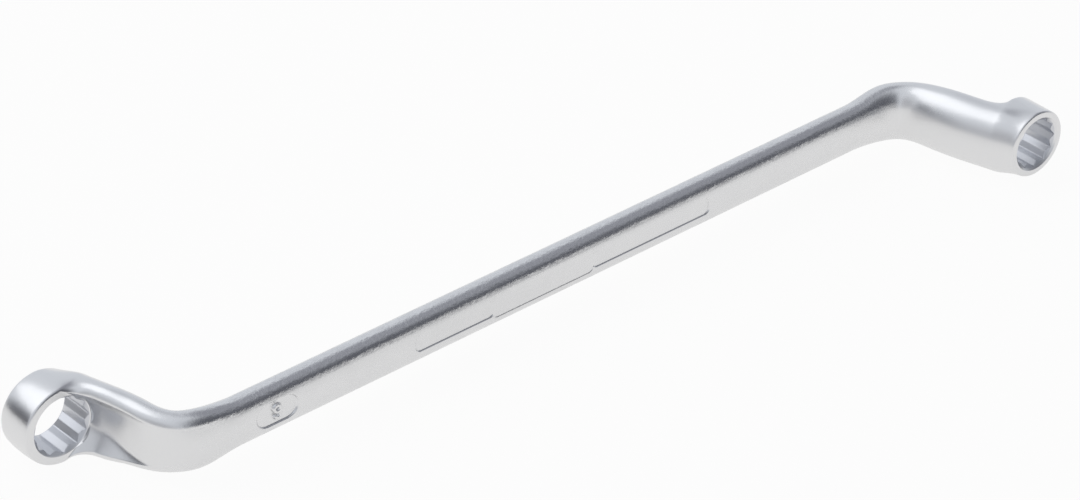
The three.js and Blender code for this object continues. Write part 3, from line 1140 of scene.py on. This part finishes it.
@dataclass(frozen=True)
class Forged:
    """The forging's surface under its plating, shared by both finishes.

    Fine grain and shallow pebbles make the height. Grain and broad clouds make the tone, by
    which the plating is a little duller in one place than in another.
    """

    pebble_detail: float = 2.0
    grain_detail: float = 3.0
    cloud_scale: float = 0.22
    pebble_height: float = 0.65
    grain_height: float = 0.35
    cloud_tone: float = 0.4
    grain_tone: float = 0.6
    tone_low: float = 0.36
    tone_high: float = 0.64

    def group(self) -> NodeTree:
        """Makes the node group.

        Returns:
            The group, with the inputs Vector, Pebble Size and Grain Size, in metres, and the
            outputs Height and Tone, from 0 to 1.
        """
        group = bpy.data.node_groups.new("plated_forging", "ShaderNodeTree")
        for name, way, kind in (
            ("Vector", "INPUT", "NodeSocketVector"),
            ("Pebble Size", "INPUT", "NodeSocketFloat"),
            ("Grain Size", "INPUT", "NodeSocketFloat"),
            ("Height", "OUTPUT", "NodeSocketFloat"),
            ("Tone", "OUTPUT", "NodeSocketFloat"),
        ):
            group.interface.new_socket(name, in_out=way, socket_type=kind)
        tree = Tree(group)
        given, target = tree.add("NodeGroupInput").outputs, tree.add("NodeGroupOutput")
        pebble_scale = tree.math("DIVIDE", 1.0, given["Pebble Size"])
        grain_scale = tree.math("DIVIDE", 1.0, given["Grain Size"])
        cloud_scale = tree.math("MULTIPLY", pebble_scale, self.cloud_scale)
        pebbles = tree.noise(given["Vector"], pebble_scale, self.pebble_detail)
        grain = tree.noise(given["Vector"], grain_scale, self.grain_detail)
        clouds = tree.noise(given["Vector"], cloud_scale, self.grain_detail)
        height = tree.weighed((pebbles, self.pebble_height), (grain, self.grain_height))
        tone = tree.weighed((clouds, self.cloud_tone), (grain, self.grain_tone))
        tree.fill(target, Height=height, Tone=tree.ramp(tone, self.tone_low, self.tone_high, 0, 1))
        return group


@dataclass(frozen=True)
class Plating:
    """Satin chrome over the forging, with its colours, its sheen and the depth of its pebbles.

    The rounded edges above and below have pebbles of the full depth, and the sides between them
    are smoother. Towards the rings they fade. Inside a socket the plating is duller, and a darker,
    bluer colour there is painted shade.
    """

    name: str
    ring_share: float = 1.0
    heads: tuple[Head, ...] = ()
    light: Colour = (0.8, 0.8, 0.805)
    dark: Colour = (0.74, 0.74, 0.745)
    smoothest: float = 0.24
    dullest: float = 0.32
    pebble_size: float = 0.75
    grain_size: float = 0.4
    depth: float = 0.11
    side_share: float = 0.25
    side_end: float = 2.6
    edge_start: float = 3.5
    fade_from: float = 68.0
    fade_to: float = 80.0
    bore_edge: float = 0.05
    # Painted shade: the darker, bluer colour inside each socket stands in for the shade in the
    # bore.
    bore_shade_colour: Colour = (0.67, 0.68, 0.71)
    bore_roughness: float = 0.4

    def material(self, group: NodeTree) -> Material:
        """Makes the material.

        Args:
            group: the group made by Forged.

        Returns:
            The material.
        """
        made, tree, shader = new_material(self.name)
        place = tree.add("ShaderNodeTexCoord").outputs[Coordinates.OBJECT.value]
        sizes = {"Pebble_Size": self.pebble_size * METRES, "Grain_Size": self.grain_size * METRES}
        surface = tree.fill(tree.add("ShaderNodeGroup", node_tree=group), Vector=place, **sizes)
        share = self._pebbled(tree, place)
        height = tree.math("MULTIPLY", surface.outputs["Height"], share)
        tone = tree.math("SUBTRACT", surface.outputs["Tone"], 0.5)
        tone = tree.math("ADD", tree.math("MULTIPLY", tone, share), 0.5)
        bump = tree.fill(tree.add("ShaderNodeBump"), Height=height, Distance=self.depth * METRES)
        colour = tree.blend(tone, (*self.dark, 1.0), (*self.light, 1.0))
        roughness = tree.ramp(tone, 0.0, 1.0, self.dullest, self.smoothest)
        for head in self.heads:
            inside = self._inside(tree, place, head)
            # Inside each socket the colour is painted shade, and the higher roughness is the
            # bore's duller finish.
            colour = tree.blend(inside, colour, (*self.bore_shade_colour, 1.0))
            extra = tree.math("SUBTRACT", self.bore_roughness, roughness)
            roughness = tree.math("ADD", roughness, tree.math("MULTIPLY", extra, inside))
        normal = bump.outputs["Normal"]
        tree.fill(shader, Base_Color=colour, Metallic=1.0, Roughness=roughness, Normal=normal)
        return made

    def _pebbled(self, tree: Tree, place: NodeSocket) -> NodeSocket:
        """Share of the pebbles' depth: by distance from the middle height, and by X.

        Args:
            tree: the material's tree.
            place: the object's coordinates.

        Returns:
            The share, from 0 to 1.
        """
        axes = tree.fill(tree.add("ShaderNodeSeparateXYZ"), Vector=place).outputs
        rise = tree.math("SUBTRACT", axes["Z"], FORGING.middle[2] * METRES)
        ends = self.side_end * METRES, self.edge_start * METRES
        share = tree.ramp(tree.math("ABSOLUTE", rise), *ends, self.side_share, 1.0)
        ends = self.fade_from * METRES, self.fade_to * METRES
        along = tree.ramp(tree.math("ABSOLUTE", axes["X"]), *ends, 1.0, self.ring_share)
        return tree.math("MULTIPLY", share, along)

    def _inside(self, tree: Tree, place: NodeSocket, head: Head) -> NodeSocket:
        """Tells the inside of a head's socket, with a soft edge.

        Args:
            tree: the material's tree.
            place: the object's coordinates.
            head: the head.

        Returns:
            1 within the socket's corners and 0 outside.
        """
        level = tree.vectors("MULTIPLY", place, (1.0, 0.0, 1.0))["Vector"]
        axis = Vector((-head.ring_x if head.turned else head.ring_x, 0, FORGING.middle[2]))
        gap = tree.vectors("DISTANCE", level, axis * METRES)["Value"]
        ends = head.corner_radius * METRES, (head.corner_radius + self.bore_edge) * METRES
        return tree.ramp(gap, *ends, 1.0, 0.0)


HEAD_FINISH = Plating(name="polished_head", ring_share=0.1, heads=(HEAD_9, HEAD_8))
SHANK_FINISH = Plating(name="satin_shank")


# Camera and studio


def towards(azimuth: float, elevation: float) -> Vector:
    """The direction at an azimuth from -Y towards +X and an elevation, both in degrees."""
    turn, rise = math.radians(azimuth), math.radians(elevation)
    flat = math.cos(rise)
    return Vector((math.sin(turn) * flat, -math.cos(turn) * flat, math.sin(rise)))


@dataclass(frozen=True)
class View:
    """The camera, as it was fitted to the picture, with its angles in degrees."""

    azimuth: float = -41.21
    elevation: float = 33.19
    roll: float = 0.30
    distance: float = 696.09
    focal_pixels: float = 4203.33
    target: tuple[float, float, float] = (1.62, 6.52, 7.1)
    clip: tuple[float, float] = (10.0, 10000.0)

    def place(self) -> None:
        """Makes the camera and sets it as the scene's."""
        back = towards(self.azimuth, self.elevation)
        right = (-back).cross(Vector((0, 0, 1))).normalized()
        axes = Matrix((right, right.cross(-back), back)).transposed()
        turn = (axes @ Matrix.Rotation(math.radians(self.roll), 3, "Z")).to_4x4()
        data = bpy.data.cameras.new("view")
        data.sensor_fit = "HORIZONTAL"
        data.sensor_width = SENSOR_WIDTH
        data.lens = self.focal_pixels * SENSOR_WIDTH / PICTURE_WIDTH
        data.clip_start, data.clip_end = (end * METRES for end in self.clip)
        made = linked("view", data)
        place = Vector(self.target) + back * self.distance
        made.matrix_world = Matrix.Translation(place * METRES) @ turn
        bpy.context.scene.camera = made


@dataclass(frozen=True)
class Lamp:
    """A soft area light that looks at the spanner, its place in degrees and its power in watts."""

    name: str
    azimuth: float
    elevation: float
    distance: float
    size: float
    power: float

    def hang(self) -> None:
        """Makes the lamp."""
        data = bpy.data.lights.new(self.name, "AREA")
        data.shape = "SQUARE"
        data.size = self.size * METRES
        data.energy = self.power
        back = towards(self.azimuth, self.elevation)
        turn = back.to_track_quat("Z", "Y").to_matrix().to_4x4()
        place = Matrix.Translation(back * self.distance * METRES)
        linked(self.name, data).matrix_world = place @ turn


@dataclass(frozen=True)
class Tone:
    """A patch of the surround with a soft edge between two angles, all in degrees."""

    azimuth: float
    elevation: float
    inner: float
    outer: float
    colour: Colour


@dataclass(frozen=True)
class Studio:
    """A pale floor, a pale surround with darker patches, and a soft lamp."""

    floor_size: float = 3000.0
    floor_colour: Colour = (0.9, 0.87, 0.82)
    floor_roughness: float = 0.9
    floor_drop: float = 0.05
    floor_glow: float = 0.94
    floor_gloss: float = 0.8
    surround: Colour = (0.74, 0.77, 0.82)
    tones: tuple[Tone, ...] = (
        Tone(-70, 2, 10, 42, (0.5, 0.51, 0.54)),
        Tone(27, 10, 3, 66, (0.11, 0.115, 0.135)),
        Tone(88, 50, 12, 38, (0.3, 0.31, 0.35)),
        Tone(-128, 3, 7, 30, (0.03, 0.032, 0.045)),
    )
    lamp: Lamp = Lamp("softbox", -142, 52, 1000, 860, 1.35)

    def build(self) -> None:
        """Makes the floor, the world and the lamp."""
        half = self.floor_size / 2
        corners = np.array([[-half, -half], [half, -half], [half, half], [-half, half]])
        points = np.column_stack([corners, np.full(4, -self.floor_drop)])
        floor = mesh_object("floor", points, np.array([[0, 1, 2, 3]]))
        floor.data.materials.append(self._floor_material())
        self._world()
        self.lamp.hang()

    @staticmethod
    def _is_looked_at(tree: Tree) -> NodeSocket:
        """1 for rays from the camera and through glass, and 0 for other light."""
        path = tree.add("ShaderNodeLightPath").outputs
        return tree.math("MAXIMUM", path["Is Camera Ray"], path["Is Transmission Ray"])

    def _floor_material(self) -> Material:
        """A plain pale floor that shows nearly white where it is looked at, shadow and all.

        Returns:
            The material.
        """
        made, tree, shader = new_material("floor")
        tree.fill(shader, Base_Color=(*self.floor_colour, 1.0), Roughness=self.floor_roughness)
        glow = tree.fill(tree.add("ShaderNodeEmission"), Color=WHITE, Strength=1.0).outputs[0]
        gloss = tree.add("ShaderNodeLightPath").outputs["Is Glossy Ray"]
        shown = tree.math("MULTIPLY", self._is_looked_at(tree), self.floor_glow)
        share = tree.math("MAXIMUM", shown, tree.math("MULTIPLY", gloss, self.floor_gloss))
        mix = tree.add("ShaderNodeMixShader")
        tree.fill(mix, at0=share, at1=shader.outputs[0], at2=glow)
        tree.fill(made.node_tree.nodes["Material Output"], Surface=mix.outputs[0])
        return made

    def _world(self) -> None:
        """The surround: white to the camera, and with its patches to everything else."""
        world = bpy.data.worlds.new("surround")
        bpy.context.scene.world = world
        world.use_nodes = True
        tree = Tree(world.node_tree)
        way = tree.add("ShaderNodeTexCoord").outputs[Coordinates.GENERATED.value]
        colour: object = (*self.surround, 1.0)
        for tone in self.tones:
            dot = tree.vectors("DOT_PRODUCT", way, towards(tone.azimuth, tone.elevation))["Value"]
            edges = (math.cos(math.radians(angle)) for angle in (tone.outer, tone.inner))
            share = tree.ramp(dot, *edges, 0.0, 1.0)
            colour = tree.blend(share, colour, (*tone.colour, 1.0))
        colour = tree.blend(self._is_looked_at(tree), colour, WHITE)
        tree.fill(world.node_tree.nodes["Background"], Color=colour, Strength=1.0)


def dress(piece: Object, finish: Material, slot: str, *nodes: str) -> None:
    """Gives a piece its finish and has it stand for its CAD nodes.

    Args:
        piece: the piece.
        finish: its material.
        slot: not used.
        nodes: the nodes it replaces.
    """
    piece.data.materials.clear()
    piece.data.materials.append(finish)
    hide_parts(*nodes)
    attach(piece, BODY)
    LOG.info("%s: %d faces", piece.name, len(piece.data.polygons))


def main() -> None:
    """Builds the spanner, the camera and the studio."""
    logging.basicConfig(level=logging.INFO, format="%(name)s: %(message)s")
    bpy.context.scene.view_settings.view_transform = "Standard"
    group = Forged().group()
    head_finish, shank_finish = HEAD_FINISH.material(group), SHANK_FINISH.material(group)
    for head in (HEAD_9, HEAD_8):
        dress(head.build(), head_finish, "polished_head", *head.nodes)
    dress(SHANK.build(), shank_finish, "satin_shank", SHANK.node)
    View().place()
    Studio().build()


if __name__ == "__main__":
    main()
